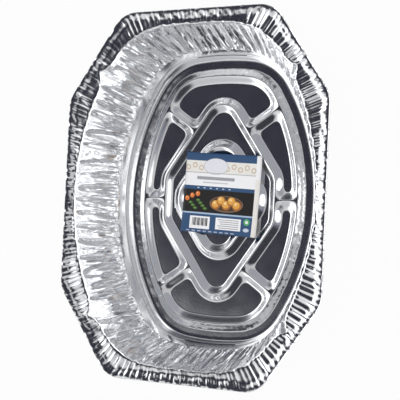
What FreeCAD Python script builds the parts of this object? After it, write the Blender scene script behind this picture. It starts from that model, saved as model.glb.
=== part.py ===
import FreeCAD, Part

import math
import os
from FreeCAD import Vector

# An oval roasting pan pressed from one sheet of aluminium foil, with a loose paper label on its floor ribs.
# +X runs along the pan, +Z is up, and the origin is under the middle of the floor, on the table.
# Lengths are in millimetres and angles in degrees.

# Sheet and overall height
sheet = 0.3
rim_height = 85.5

# Pressed oval that the floor, the wall and the mouth all follow, drawn on the crest of the ring rib
ring_half_length = 157.5
ring_half_width = 109.5
ring_side_radius = 250.0
ring_end_radius = 300.0
ring_corner_radius = 49.0

# Floor ribs, pressed up from the sheet and hollow below
rib_height = 5.0
rib_crest = 1.8
rib_foot = 18.0
rib_facet = 20.0
diamond_half_length = 139.5
diamond_half_width = 78.8
diamond_knee = 28.5
diamond_tip_radius = 26.0
diamond_knee_radius = 24.0
loop_half_length = 86.0
loop_half_width = 56.5
loop_knee = 9.0
loop_tip_radius = 27.0
loop_knee_radius = 22.0
branch_start = (86.9, 37.4)
branch_end = (116.0, 80.8)

# Gutter round the ring rib, the riser outside it and the narrow ledge at the riser's top
gutter_width = 12.5
gutter_joint = 6.0
riser_height = 11.3
riser_draft = 3.0
ledge_width = 1.6

# Pleated wall
plain_band_height = 10.5
tuck_height = 3.0
wall_spread = 30.5
end_wall_pull = 5.0
side_pleat_count = 17
end_pleat_count = 21
pleat_depth_low = 2.0
pleat_depth_high = 2.4
pleat_unevenness = 0.35
mouth_ripple = 1.0

# Pouring spouts, one towards each slanted side of the flange
spout_height = 20.0
spout_land = 3.0
spout_half_width = 19.0
spout_angle = 29.0
mouth_bend = 2.0

# Flange: a puckered flat, wider at the two ends, a lip that rises from it and the rolled bead round its edge
side_flat = 0.9
end_flat = 5.4
slant_from_middle = 120.0
slant_from_side = 75.7
flange_corner_radius = 38.0
pucker_height = 0.9
lip_width = 8.0
lip_height = 2.2
flange_margin = 1.0
bead_radius = 1.5
bead_sides = 6
bead_facet = 10.0

# Loose paper label
label_length = 102.0
label_width = 101.0
label_margin = 7.0
label_sheet = 0.3
label_centre = (6.5, -0.5)
label_turn = -2.8

floor_top = sheet
crest_top = floor_top + rib_height
ledge_top = floor_top + riser_height
gutter_edge = rib_foot / 2 + gutter_width
ledge_inner = gutter_edge + riser_draft
wall_foot = ledge_inner + ledge_width
flange_level = rim_height - lip_height
wall_rise = flange_level - mouth_bend - ledge_top
wall_top = wall_foot + wall_spread
mouth_out = wall_top + mouth_bend
lip_top = flange_margin + 2 * bead_radius
lip_foot = lip_top + lip_width
overall_length = 2 * (ring_half_length + mouth_out - end_wall_pull + end_flat + lip_foot)
overall_width = 2 * (ring_half_width + mouth_out + side_flat + lip_foot)
half_pleats = side_pleat_count + end_pleat_count


def mitred(section, thickness):
    """The points of a section that lie one thickness below it, going outwards."""
    normals = []
    for (x0, z0), (x1, z1) in zip(section, section[1:]):
        length = math.hypot(x1 - x0, z1 - z0)
        normals.append(((z1 - z0) / length, (x0 - x1) / length))
    below = []
    for i, (x, z) in enumerate(section):
        before = normals[max(i - 1, 0)]
        after = normals[min(i, len(normals) - 1)]
        share = thickness / (1 + before[0] * after[0] + before[1] * after[1])
        below.append((x + share * (before[0] + after[0]), z + share * (before[1] + after[1])))
    return below


def ring_arcs():
    """Centre, radius and the two end angles of a quarter's side, corner and end arcs, from +Y towards +X."""
    side = (0.0, ring_half_width - ring_side_radius)
    end = (ring_half_length - ring_end_radius, 0.0)
    r_side = ring_side_radius - ring_corner_radius
    r_end = ring_end_radius - ring_corner_radius
    apart = math.hypot(end[0] - side[0], end[1] - side[1])
    along = (r_side ** 2 - r_end ** 2 + apart ** 2) / (2 * apart)
    across = math.sqrt(r_side ** 2 - along ** 2)
    ux, uy = (end[0] - side[0]) / apart, (end[1] - side[1]) / apart
    corner = (side[0] + along * ux + across * uy, side[1] + along * uy - across * ux)
    turn_1 = math.atan2(corner[0] - side[0], corner[1] - side[1])
    turn_2 = math.atan2(corner[0] - end[0], corner[1] - end[1])
    return [
        (side, ring_side_radius, 0.0, turn_1),
        (corner, ring_corner_radius, turn_1, turn_2),
        (end, ring_end_radius, turn_2, math.pi / 2),
    ]


def quarter_signs():
    """The four quarters in turn: sign of X, sign of Y, and whether the quarter runs backwards."""
    return [(1, 1, False), (1, -1, True), (-1, -1, False), (-1, 1, True)]


def oval(offset, height):
    """The ring's oval grown by offset, as one closed wire of arcs."""
    arcs = ring_arcs()
    edges = []
    for sx, sy, backwards in quarter_signs():
        quarter = []
        for (cx, cy), radius, start, stop in arcs:
            grown = radius + offset
            spots = []
            for a in (start, (start + stop) / 2, stop):
                x, y = cx + grown * math.sin(a), cy + grown * math.cos(a)
                spots.append(Vector(sx * x, sy * y, height))
            quarter.append(Part.Arc(*(spots[::-1] if backwards else spots)).toShape())
        edges += quarter[::-1] if backwards else quarter
    return Part.Wire(edges)


def pleat_stations():
    """Each half pleat's place on the oval and its outward normal, spaced evenly half way up the wall."""
    arcs = ring_arcs()
    middle = wall_foot + wall_spread / 2
    lengths = [(radius + middle) * (stop - start) for _, radius, start, stop in arcs]
    at_spout = lengths[0] * math.radians(spout_angle) / arcs[0][3]
    beyond = sum(lengths) - at_spout
    distances = [at_spout * i / side_pleat_count for i in range(side_pleat_count)]
    distances += [at_spout + beyond * i / end_pleat_count for i in range(end_pleat_count + 1)]
    quarter = []
    for distance in distances:
        rest = distance
        for ((cx, cy), radius, start, stop), length in zip(arcs, lengths):
            if rest <= length + 1e-9 or stop == math.pi / 2:
                break
            rest -= length
        a = start + rest / (radius + middle)
        quarter.append((cx + radius * math.sin(a), cy + radius * math.cos(a), math.sin(a), math.cos(a)))
    around = []
    for sx, sy, backwards in quarter_signs():
        run = quarter[::-1] if backwards else quarter
        around += [(sx * x, sy * y, sx * nx, sy * ny) for x, y, nx, ny in run[:-1]]
    return around, at_spout


STATIONS, SPOUT_DISTANCE = pleat_stations()


def pleat_swing(i):
    """How far half pleat i swings out or in, as a share of the pleat depth: folds in foil are uneven."""
    side = 0.5 if i % 2 else -0.5
    return side * (1 - pleat_unevenness * (1 + math.sin(2.4 * i)) / 2)


def flange_corners():
    """The flange's eight corners before rounding, in turn from the +Y side towards +X."""
    half_length, half_width = overall_length / 2, overall_width / 2
    quarter = [(slant_from_middle, half_width), (half_length, half_width - slant_from_side)]
    corners = []
    for sx, sy, backwards in quarter_signs():
        run = quarter[::-1] if backwards else quarter
        corners += [(sx * x, sy * y) for x, y in run]
    return corners


def inset_corners(corners, inset):
    """Corners given clockwise, with the sides between them moved inwards by inset."""
    sides = []
    for (x0, y0), (x1, y1) in zip(corners, corners[1:] + corners[:1]):
        length = math.hypot(x1 - x0, y1 - y0)
        ux, uy = (x1 - x0) / length, (y1 - y0) / length
        sides.append((x0 + inset * uy, y0 - inset * ux, ux, uy))
    moved = []
    for (ax, ay, aux, auy), (bx, by, bux, buy) in zip(sides[-1:] + sides[:-1], sides):
        along = ((bx - ax) * buy - (by - ay) * bux) / (aux * buy - auy * bux)
        moved.append((ax + along * aux, ay + along * auy))
    return moved


FLANGE_CORE = [Vector(x, y, 0) for x, y in inset_corners(flange_corners(), flange_corner_radius)]


def inside_edge(x, y):
    """How far a point of the flange lies inside its rounded edge."""
    place = Vector(x, y, 0)
    sides = zip(FLANGE_CORE, FLANGE_CORE[1:] + FLANGE_CORE[:1])
    return flange_corner_radius - min(place.distanceToLineSegment(*side).Length for side in sides)


def room_outside(i, offset, inset):
    """The way from half pleat i at an offset, straight out to a line inside the flange's edge."""
    x, y, nx, ny = STATIONS[i]
    near, far = 0.0, flange_corner_radius
    while far - near > 1e-6:
        middle = (near + far) / 2
        out = offset + middle
        if inside_edge(x + out * nx, y + out * ny) > inset:
            near = middle
        else:
            far = middle
    return near


def spout_push(i):
    """How far half pleat i is drawn out by the nearest spout: a narrow tip with hollow flanks."""
    tips = [side_pleat_count, 2 * half_pleats - side_pleat_count]
    tips += [2 * half_pleats + tip for tip in tips]
    steps = min(min(abs(i - tip), len(STATIONS) - abs(i - tip)) for tip in tips)
    away = steps * SPOUT_DISTANCE / side_pleat_count / spout_half_width
    reach = room_outside(side_pleat_count, mouth_out + mouth_ripple / 2, lip_foot) - spout_land
    return reach * max(0.0, 1 - away) ** 2


def end_pull(i):
    """How much less the mouth spreads at half pleat i: most at the pan's two ends, where the wall is steeper."""
    _, _, nx, ny = STATIONS[i]
    turn = math.atan2(abs(nx), abs(ny)) / (math.pi / 2)
    return end_wall_pull * max(0.0, 2 * turn - 1) ** 2


def ring_of_points(offset, height, depth=0.0, push=0.0, pucker=0.0):
    points = []
    up_the_wall = min(1.0, (offset - wall_foot) / wall_spread)
    for i, (x, y, nx, ny) in enumerate(STATIONS):
        out = offset + depth * pleat_swing(i) + push * spout_push(i) - up_the_wall * end_pull(i)
        points.append(Vector(x + out * nx, y + out * ny, height + pucker * pleat_swing(i)))
    return points


def rounded(corners, radii, inset, height, facet=0.0):
    """A closed wire through corners given clockwise, moved inwards by inset, with its corners rounded.

    With a facet angle the round corners are flat facets, none of which turns by more than that.
    """
    places = [Vector(x, y, height) for x, y in inset_corners(corners, inset)]
    bends = []
    for before, place, after, full_radius in zip(places[-1:] + places[:-1], places, places[1:] + places[:1], radii):
        ahead, onwards = (place - before).normalize(), (after - place).normalize()
        half_turn = ahead.getAngle(onwards) / 2
        radius = full_radius - inset
        reach = radius * math.tan(half_turn)
        start, stop = place - ahead * reach, place + onwards * reach
        bulge = radius * (1 / math.cos(half_turn) - 1)
        middle = place + (onwards - ahead).normalize() * bulge
        arc = Part.Arc(start, middle, stop).toShape()
        steps = math.ceil(2 * math.degrees(half_turn) / facet) if facet else 1
        bends.append((start, arc, stop) if not facet else arc.discretize(Number=steps + 1))
    if facet:
        return polygon([point for bend in bends for point in bend])
    edges = []
    for (_, _, last), (start, arc, _) in zip(bends[-1:] + bends[:-1], bends):
        edges += [Part.makeLine(last, start), arc]
    return Part.Wire(edges)


def flange_edge(inset, height):
    return rounded(flange_corners(), [flange_corner_radius] * 8, inset, height, bead_facet)


def to_flange(share, height, inset, pucker=0.0):
    """Points between the mouth and a line inside the flange's edge, each straight out from its half pleat."""
    points = []
    for i, (x, y, nx, ny) in enumerate(STATIONS):
        offset = mouth_out + mouth_ripple * pleat_swing(i) + spout_push(i) - end_pull(i)
        offset += share * room_outside(i, offset, inset)
        points.append(Vector(x + offset * nx, y + offset * ny, height + pucker * pleat_swing(i)))
    return points


def on_wall(height):
    """A point of the wall's section at a height above the ledge."""
    return (wall_foot + wall_spread * height / wall_rise, ledge_top + height)


def strip(low, high):
    """Flat facets between two closed rings of points, with their diagonals turned about at each fold."""
    faces = []
    for i, start in enumerate(low):
        j = (i + 1) % len(low)
        if i % 2:
            facets = [(start, low[j], high[j]), (start, high[j], high[i])]
        else:
            facets = [(start, low[j], high[i]), (low[j], high[j], high[i])]
        faces += [Part.Face(polygon(list(facet))) for facet in facets]
    return faces


def flat(outer, inner):
    """A level face between two closed wires."""
    return Part.makeFace([outer, inner], "Part::FaceMakerBullseye").Faces


def polygon(points):
    return Part.makePolygon(points + points[:1])


def between(low, high):
    """Faces between two wires that have the same number of edges, flat where both edges are straight."""
    faces = []
    for a, b in zip(low.OrderedEdges, high.OrderedEdges):
        if isinstance(a.Curve, Part.Line):
            corners = [v.Point for v in a.Vertexes + b.Vertexes[::-1]]
            faces.append(Part.Face(polygon(corners)))
        else:
            faces.append(Part.makeRuledSurface(a, b))
    return faces


def closed(faces):
    """One solid from faces that meet edge to edge all round."""
    shell = Part.Shell(faces)
    shell.sewShape()
    solid = Part.Solid(shell)
    if solid.Volume < 0:
        solid.reverse()
    return solid


def skin(section):
    """One side of the sheet from the gutter's joint to the lip's top, and the wire that it ends at."""
    joint, riser_foot, ledge_edge, foot, tuck, pleats, spouts, mouth, flange, lip = section
    smooth = [oval(*joint), oval(*riser_foot), oval(*ledge_edge)]
    rings = [
        ring_of_points(*foot),
        ring_of_points(*tuck),
        ring_of_points(*pleats, pleat_depth_low),
        ring_of_points(*spouts, pleat_depth_high),
        ring_of_points(*mouth, mouth_ripple, 1.0),
        ring_of_points(*flange, mouth_ripple, 1.0),
        to_flange(0.5, flange[1], lip_foot, pucker_height),
        to_flange(1.0, flange[1], lip_foot),
        to_flange(1.0, lip[1], lip_top),
    ]
    faces = flat(smooth[1], smooth[0]) + flat(polygon(rings[0]), smooth[2])
    faces += between(smooth[1], smooth[2])
    for low, high in zip(rings, rings[1:]):
        faces += strip(low, high)
    return faces, polygon(rings[-1])


def wall_and_flange():
    """Faces of the sheet outside the joint: gutter, riser, ledge, pleated wall, spouts, flange and bead."""
    section = [
        (rib_foot / 2 + gutter_joint, floor_top),
        (gutter_edge, floor_top),
        (ledge_inner, ledge_top),
        (wall_foot, ledge_top),
        on_wall(plain_band_height),
        on_wall(plain_band_height + tuck_height),
        on_wall(wall_rise - spout_height),
        (wall_top, flange_level - mouth_bend),
        (mouth_out, flange_level),
    ]
    beyond_mouth = (mouth_out + lip_width, flange_level)
    under = mitred(section + [beyond_mouth], sheet)[:-1]
    under[0] = (section[0][0], 0.0)
    upper_faces, upper_rim = skin(section + [(0.0, rim_height)])
    lower_faces, lower_rim = skin(under + [(0.0, rim_height - sheet)])
    faces = upper_faces + lower_faces
    last_turn = 2 * math.pi - math.acos(1 - sheet / bead_radius)
    bead = []
    for k in range(bead_sides + 1):
        a = last_turn * k / bead_sides
        inset = bead_radius * (1 - math.sin(a))
        bead.append(flange_edge(inset, rim_height - bead_radius * (1 - math.cos(a))))
    faces += flat(bead[0], upper_rim) + flat(bead[-1], lower_rim)
    for low, high in zip(bead, bead[1:]):
        faces += between(low, high)
    return faces


def rib_widths(inside):
    """Foot and crest widths and top of a rib's outside, or of the hollow one sheet inside it."""
    run = (rib_foot - rib_crest) / 2
    slope = math.hypot(run, rib_height)
    thinner = 2 * sheet * (slope - run) / rib_height if inside else 0.0
    top = crest_top - sheet if inside else crest_top
    foot = rib_foot - thinner if inside else rib_foot + 2 * run * sheet / rib_height
    return foot, rib_crest - thinner, top


def closed_rib(outline, inside):
    """A rib that runs round in a closed line; outline gives the wire at an offset and a height."""
    foot, crest, top = rib_widths(inside)
    solids = []
    for side in (1, -1):
        low, high = outline(side * foot / 2, 0.0), outline(side * crest / 2, top)
        solids.append(closed(between(low, high) + [Part.Face(low), Part.Face(high)]))
    return solids[0].cut(solids[1])


def straight_rib(start, end, inside):
    foot, crest, top = rib_widths(inside)
    along = Vector(end[0] - start[0], end[1] - start[1], 0)
    side = Vector(-along.y, along.x, 0).normalize()
    base = Vector(start[0], start[1], 0)
    corners = [
        base + side * (foot / 2),
        base + side * (crest / 2) + Vector(0, 0, top),
        base - side * (crest / 2) + Vector(0, 0, top),
        base - side * (foot / 2),
    ]
    return Part.Face(polygon(corners)).extrude(along)


def rhombus(half_length, half_width, knee, tip_radius, knee_radius):
    """What draws a rib line with pointed ends and cut-off sides, at an offset and a height."""
    corners = [(-knee, half_width), (knee, half_width), (half_length, 0.0)]
    corners += [(knee, -half_width), (-knee, -half_width), (-half_length, 0.0)]
    radii = [knee_radius, knee_radius, tip_radius] * 2
    return lambda offset, height: rounded(corners, radii, -offset, height, rib_facet)


def ribs(inside):
    diamond_radii = (diamond_tip_radius, diamond_knee_radius)
    diamond = rhombus(diamond_half_length, diamond_half_width, diamond_knee, *diamond_radii)
    loop = rhombus(loop_half_length, loop_half_width, loop_knee, loop_tip_radius, loop_knee_radius)
    solids = [closed_rib(line, inside) for line in (oval, diamond, loop)]
    for sy in (1, -1):
        solids.append(straight_rib((0.0, sy * diamond_half_width), (0.0, sy * ring_half_width), inside))
        for sx in (1, -1):
            start = (sx * branch_start[0], sy * branch_start[1])
            end = (sx * branch_end[0], sy * branch_end[1])
            solids.append(straight_rib(start, end, inside))
    return solids[0].fuse(solids[1:])


def pan_floor():
    """Faces of the flat floor with its net of hollow ribs, out to the joint in the gutter and open there."""
    plate = Part.Face(oval(rib_foot / 2 + gutter_joint, 0.0)).extrude(Vector(0, 0, sheet))
    pressed = plate.fuse(ribs(False)).cut(ribs(True)).removeSplitter()
    return [face for face in pressed.Faces if abs(face.BoundBox.ZLength - sheet) > sheet / 100]


def foil_pan():
    """The whole sheet as one solid: the floor's and the wall's faces sewn together in the gutter."""
    return closed(pan_floor() + wall_and_flange())


def paper_label():
    """One loose sheet on the rib crests: the printed field, and a bare margin along its -Y side."""
    x, y = label_length / 2, label_width / 2
    outline = [(-x, -y - label_margin), (-x, y), (x, y), (x, -y - label_margin)]
    paper = Part.Face(polygon([Vector(px, py, 0) for px, py in outline])).extrude(Vector(0, 0, label_sheet))
    paper.rotate(Vector(0, 0, 0), Vector(0, 0, 1), label_turn)
    paper.translate(Vector(label_centre[0], label_centre[1], crest_top))
    return paper


os.makedirs("parts", exist_ok=True)
for name, piece in {"foil_pan": foil_pan(), "paper_label": paper_label()}.items():
    piece.exportStep(f"parts/{name}.step")
    print(name, "valid" if piece.isValid() else "not valid", round(piece.Volume), "cubic mm")
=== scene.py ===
import math

import bpy
import numpy as np
from mathutils import Euler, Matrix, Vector
from mathutils.geometry import delaunay_2d_cdt


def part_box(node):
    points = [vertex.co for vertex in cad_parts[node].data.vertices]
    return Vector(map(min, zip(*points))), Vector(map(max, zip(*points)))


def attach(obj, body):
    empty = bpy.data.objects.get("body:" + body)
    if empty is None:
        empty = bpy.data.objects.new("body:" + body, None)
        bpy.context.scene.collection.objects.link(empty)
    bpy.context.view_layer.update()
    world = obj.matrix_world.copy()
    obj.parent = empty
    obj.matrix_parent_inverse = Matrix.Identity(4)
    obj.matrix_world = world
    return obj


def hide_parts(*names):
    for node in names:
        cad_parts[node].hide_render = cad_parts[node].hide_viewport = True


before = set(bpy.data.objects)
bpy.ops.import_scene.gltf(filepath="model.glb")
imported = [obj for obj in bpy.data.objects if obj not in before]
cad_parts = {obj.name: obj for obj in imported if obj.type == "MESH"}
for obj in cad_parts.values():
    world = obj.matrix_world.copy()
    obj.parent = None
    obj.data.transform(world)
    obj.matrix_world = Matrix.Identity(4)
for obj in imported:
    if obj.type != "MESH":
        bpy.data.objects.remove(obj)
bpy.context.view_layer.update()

# An oval roasting pan pressed from aluminium foil, with a loose paper label on its floor ribs.
# Lengths are millimetres, apart from the camera's place and the floor's size, which are metres.
MM = 0.001
SEED = 11
rng = np.random.default_rng(SEED)

low_corner, high_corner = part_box("foil_pan")
RIM = high_corner.z / MM
LENGTH = (high_corner.x - low_corner.x) / MM
WIDTH = (high_corner.y - low_corner.y) / MM
label_corner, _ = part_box("paper_label")
CREST = label_corner.z / MM
SHEET = 0.3

# Oval that the floor, the wall and the mouth follow, on the crest of the ring rib
RING_HALF_LENGTH = 157.5
RING_HALF_WIDTH = 109.5
RING_SIDE_RADIUS = 250.0
RING_END_RADIUS = 300.0
RING_CORNER_RADIUS = 49.0

# Ribs
RIB_HALF_FOOT = 9.0
RIB_HALF_CREST = 0.9
RIB_ROUNDING = 0.06
DIAMOND = {"half_length": 139.5, "half_width": 78.8, "knee": 28.5, "tip_radius": 26.0, "knee_radius": 24.0}
LOOP = {"half_length": 86.0, "half_width": 56.5, "knee": 9.0, "tip_radius": 27.0, "knee_radius": 22.0}
BRANCH = ((86.9, 37.4), (116.0, 80.8))
POCKET_ROUNDING = 10.0
FIELD_RISE = 0.12
FIELD_RUN = 14.0
FIELD_ROUNDING = 0.1

# Dents on the ring rib's outer slope: depth, start on the slope, and zigzags per millimetre along x and y
DENT = 0.20
DENTED_FROM = 1.0
DENT_TURNS = (12.99, 78.23)

# Lines of points that the floor's triangles follow: offsets from a rib's middle, and ways to the nearest rib
CREST_LINES = [-1.4, -0.5, 0.5, 1.4]
CONTOURS = [5.0, 8.5, 9.5, 10.4]
CONTOUR_STEP = 4.0
CONTOUR_MARGIN = 14
LINE_STEP = 4.0
FIELD_STEP = 11.0
FIELD_STEPS_ALONG = 15
FIELD_STEPS_ACROSS = 11
FIELD_CLEARANCE = 2.5
MERGE_WITHIN = 0.3

# Section of the wall, as offsets from the ring rib's crest
GUTTER_JOINT = 11.0
GUTTER_EDGE = 21.5
RISER_DRAFT = 3.0
RISER_HEIGHT = 11.3
LEDGE_WIDTH = 1.6
WALL_SPREAD = 30.5
MOUTH_BEND = 2.0
PLAIN_BAND = 10.5

# Flange
SLANT_FROM_MIDDLE = 120.0
SLANT_FROM_SIDE = 75.7
FLANGE_CORNER_RADIUS = 38.0
BEAD_RADIUS = 1.5
LIP_HEIGHT = 2.2
LIP_TOP = 4.0
LIP_FOOT = 12.0
SPOUT_ANGLE = 29.0
SPOUT_HALF_WIDTH = 19.0
SPOUT_HEIGHT = 20.0
SPOUT_LAND = 3.0
END_WALL_PULL = 5.0

# Pleats, at the same places as the CAD part's
HALF_PLEATS_BEFORE_SPOUT = 17
HALF_PLEATS_BEYOND_SPOUT = 21
PLEAT_UNEVENNESS = 0.35
UNEVENNESS_TURN = 2.4
PLEAT_FLATNESS = 1.35
PLEAT_START = 2.5
PLEAT_DEPTH_LOW = 2.0
PLEAT_DEPTH_HIGH = 2.4
MOUTH_RIPPLE = 1.0

# Lean and wander of the wall's folds: waves round the pan with their counts, sizes and starts
LEAN_WAVES = [(7, 0.07, 0), (31, 0.04, 1)]
WANDER_WAVES = [(53, 0.8, 0), (97, 0.6, 0)]

# Tucks: a long and a short crease at each pleat's foot, each with a wedge that goes the other way
TUCK_START = (-0.5, 2.5)
TUCK_HALF_WIDTH = 2.2
LONG_TUCK_LENGTH = (50, 80)
LONG_TUCK_DEPTH = (1.1, 1.7)
SHORT_TUCK_SHIFT = (4.0, 6.0)
SHORT_TUCK_LENGTH = (20, 50)
SHORT_TUCK_DEPTH = (0.8, 1.3)
WEDGE_DEPTH = 1.3
WEDGE_HALF_WIDTH = 3.2
WEDGE_LENGTH = 7
SHORT_WEDGE_SHARE = 0.4

# Single creases of the wall
CREASE_COUNT = 110
CREASE_LENGTH = (14, 50)
CREASE_LEAN = 0.10
CREASE_HALF_WIDTH = (2.4, 5.5)
CREASE_STEEPNESS = (0.14, 0.34)

# Streaks and crumples: their counts, pitches and lean, and their heights as shares of the pitch
WALL_STREAKS = {"count": 4, "shortest": 9.0, "longest": 18.0, "slant": 0.12}
STREAK_SHARE = 0.025
LOW_END_SHARE = 0.045
WALL_CRUMPLE = {"count": 9, "shortest": 4.5, "longest": 11.0}
WALL_CRUMPLE_LOW = 0.003
WALL_CRUMPLE_GROWTH = 0.042
LIP_CRUMPLE = {"count": 7, "shortest": 3.8, "longest": 8.0}
LIP_CRUMPLE_SHARE = 0.05
FLANGE_WAVES = {"count": 6, "shortest": 9.0, "longest": 22.0}
FLANGE_WAVE_SHARE = 0.012

# Flange: rows of points as shares of the flat and of the lip, and radial zigzags spaced in columns
FLAT_SHARES = [0.0, 0.14, 0.36, 0.6, 0.82]
LIP_SHARES = [0.0, 0.22, 0.45, 0.7, 1.0]
PLEAT_SPACINGS = [1, 2, 2, 3]
FINE_SPACINGS = [1, 1, 2]
JAG_SPACINGS = [1, 2, 2]
PLEAT_SWING = 0.46
FINE_SWING = 0.09
MOUTH_JAG = 0.4

# Calmer parts of the flange: its two ends, and the land round one of the spouts
CALM_END_FROM = 0.93
CALM_END_SHARE = 0.9
CALM_SPOT = (120, 80)
CALM_REACH = 60
CALM_CORE = 1.3
CALM_SPOT_SHARE = 0.6

# Bead: angles of its rows of points, up being 0, and how far it is dented as a share of its radius
BEAD_ANGLES = [-25, 25, 75, 125, 185, 260]
BEAD_DENT = 0.3

# Edges of the sheet that turn by more than this many degrees look sharp
SHARP_FROM = 28.0

# Label
LABEL_HALF_LENGTH = 51.0
LABEL_HALF_WIDTH = 50.5
LABEL_MARGIN = 7.0
LABEL_TURN = -2.8
LABEL_CENTRE = (6.5, -0.5)
LABEL_GAUGE = 0.25
LABEL_TOP = 0.3
CORNER_LIFT = 1.2
LABEL_CELLS = 30
PRINT_SCALE = 100

# Foil's look: its colour and roughness, and the size of its wrinkles and haze
FOIL_COLOUR = (0.91, 0.915, 0.925, 1)
FOIL_ROUGHNESS = (0.10, 0.17)
WRINKLE_SCALE = 260
WRINKLE_DETAIL = 4
WRINKLE_STRENGTH = 0.08
WRINKLE_HEIGHT = 0.4
HAZE_SCALE = 40

# Floor under the pan, and how white the camera sees it
FLOOR_HALF_SIZE = 6.0
FLOOR_COLOUR = (0.6, 0.6, 0.6, 1)
FLOOR_GLOW = 0.95

# Camera, from the fit to the photo
CAMERA_LENS = 103.60
CAMERA_SENSOR = 36.0
CAMERA_PLACE = (-0.0572, -0.6876, 1.2923)
CAMERA_TURN = (3.607, 28.884, -87.004)

LEDGE_TOP = SHEET + RISER_HEIGHT
WALL_FOOT = GUTTER_EDGE + RISER_DRAFT + LEDGE_WIDTH
FLANGE_LEVEL = RIM - LIP_HEIGHT
WALL_RISE = FLANGE_LEVEL - MOUTH_BEND - LEDGE_TOP
WALL_TOP = WALL_FOOT + WALL_SPREAD
MOUTH = WALL_TOP + MOUTH_BEND

# Columns of points in a quarter of the wall, of which the gutter and the riser have half
QUARTER_COLUMNS = 225

# Rows of points: offset and height at the gutter, the riser and the mouth, and heights up the wall
GUTTER_ROWS = [
    (GUTTER_JOINT, SHEET),
    (16.0, SHEET),
    (GUTTER_EDGE - 1.2, SHEET),
    (GUTTER_EDGE - 0.2, SHEET + 0.35),
    (GUTTER_EDGE + 0.2, SHEET + 1.4),
    (GUTTER_EDGE + 2.6, LEDGE_TOP - 1.2),
    (GUTTER_EDGE + RISER_DRAFT, LEDGE_TOP - 0.15),
    (WALL_FOOT - 0.5, LEDGE_TOP),
]
PLAIN_ROWS = [0.5, 5.0, PLAIN_BAND - 0.7, PLAIN_BAND + 0.1, PLAIN_BAND + 1.3, PLAIN_BAND + 3.1]
PLEATED_ROWS = list(np.linspace(PLAIN_BAND + 6, WALL_RISE - 0.6, 14))
MOUTH_ROWS = [(WALL_TOP + 0.5, FLANGE_LEVEL - 1.1), (MOUTH - 0.9, FLANGE_LEVEL - 0.3)]


def unit_clip(x):
    """x held between 0 and 1."""
    return np.clip(x, 0.0, 1.0)


def ramp(x, start, length):
    """0 up to the start, 1 from that length beyond it, and straight between."""
    return unit_clip((x - start) / length)


def smooth_clip(t, blend):
    """t held between 0 and 1, with its two corners rounded over that blend."""
    inner = np.where(t < blend, (t + blend) ** 2 / (4 * blend), t)
    outer = np.where(t > 1 - blend, 1 - (1 + blend - t) ** 2 / (4 * blend), inner)
    return np.where(t < -blend, 0.0, np.where(t > 1 + blend, 1.0, outer))


def triangle_wave(turns):
    """A zigzag between -1 and 1, once for each turn."""
    return 4 * np.abs(turns - np.floor(turns) - 0.5) - 1


def ring_arcs():
    """Centre, radius and the two end angles of a quarter's side, corner and end arcs, from +Y towards +X."""
    side = (0.0, RING_HALF_WIDTH - RING_SIDE_RADIUS)
    end = (RING_HALF_LENGTH - RING_END_RADIUS, 0.0)
    r_side = RING_SIDE_RADIUS - RING_CORNER_RADIUS
    r_end = RING_END_RADIUS - RING_CORNER_RADIUS
    apart = math.hypot(end[0] - side[0], end[1] - side[1])
    along = (r_side ** 2 - r_end ** 2 + apart ** 2) / (2 * apart)
    across = math.sqrt(r_side ** 2 - along ** 2)
    ux, uy = (end[0] - side[0]) / apart, (end[1] - side[1]) / apart
    corner = (side[0] + along * ux + across * uy, side[1] + along * uy - across * ux)
    turn_1 = math.atan2(corner[0] - side[0], corner[1] - side[1])
    turn_2 = math.atan2(corner[0] - end[0], corner[1] - end[1])
    return [
        (side, RING_SIDE_RADIUS, 0.0, turn_1),
        (corner, RING_CORNER_RADIUS, turn_1, turn_2),
        (end, RING_END_RADIUS, turn_2, math.pi / 2),
    ]


def quarter_stations():
    """Places on the oval and outward normals of a quarter's columns, one of which is at the spout."""
    arcs = ring_arcs()
    middle = WALL_FOOT + WALL_SPREAD / 2
    lengths = [(radius + middle) * (stop - start) for _, radius, start, stop in arcs]
    at_spout = lengths[0] * math.radians(SPOUT_ANGLE) / arcs[0][3]
    spout_column = 2 * round(QUARTER_COLUMNS * at_spout / sum(lengths) / 2)
    before = np.arange(spout_column) * at_spout / spout_column
    beyond = np.linspace(at_spout, sum(lengths), QUARTER_COLUMNS - spout_column + 1)
    rows = []
    for distance in np.concatenate([before, beyond]):
        rest = distance
        for ((cx, cy), radius, start, stop), length in zip(arcs, lengths):
            if rest <= length + 1e-9 or stop == math.pi / 2:
                break
            rest -= length
        a = start + rest / (radius + middle)
        x, y = cx + radius * math.sin(a), cy + radius * math.cos(a)
        rows.append((x, y, math.sin(a), math.cos(a), distance))
    folds = [at_spout * i / HALF_PLEATS_BEFORE_SPOUT for i in range(HALF_PLEATS_BEFORE_SPOUT)]
    folds += list(np.linspace(at_spout, sum(lengths), HALF_PLEATS_BEYOND_SPOUT + 1))
    return np.array(rows), spout_column, sum(lengths), np.array(folds)


def all_stations():
    """The columns all round, the way round the wall, and the pleats' ways.

    A column has its place, its normal, its way along the wall and its way to the nearest spout.
    """
    quarter, spout_column, length, quarter_pleats = quarter_stations()
    at_spout = quarter[spout_column, 4]
    parts, pleat_ways = [], []
    for k, (sx, sy, backwards) in enumerate([(1, 1, False), (1, -1, True), (-1, -1, False), (-1, 1, True)]):
        folds = length - quarter_pleats[::-1] if backwards else quarter_pleats
        pleat_ways.append(k * length + folds[:-1])
        run = quarter[::-1] if backwards else quarter
        run = run[:-1]
        way = k * length + (length - run[:, 4] if backwards else run[:, 4])
        place_and_normal = run[:, 0:4] * (sx, sy, sx, sy)
        parts.append(np.column_stack([place_and_normal, way, np.abs(run[:, 4] - at_spout)]))
    return np.concatenate(parts), 4 * length, np.concatenate(pleat_ways)


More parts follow.
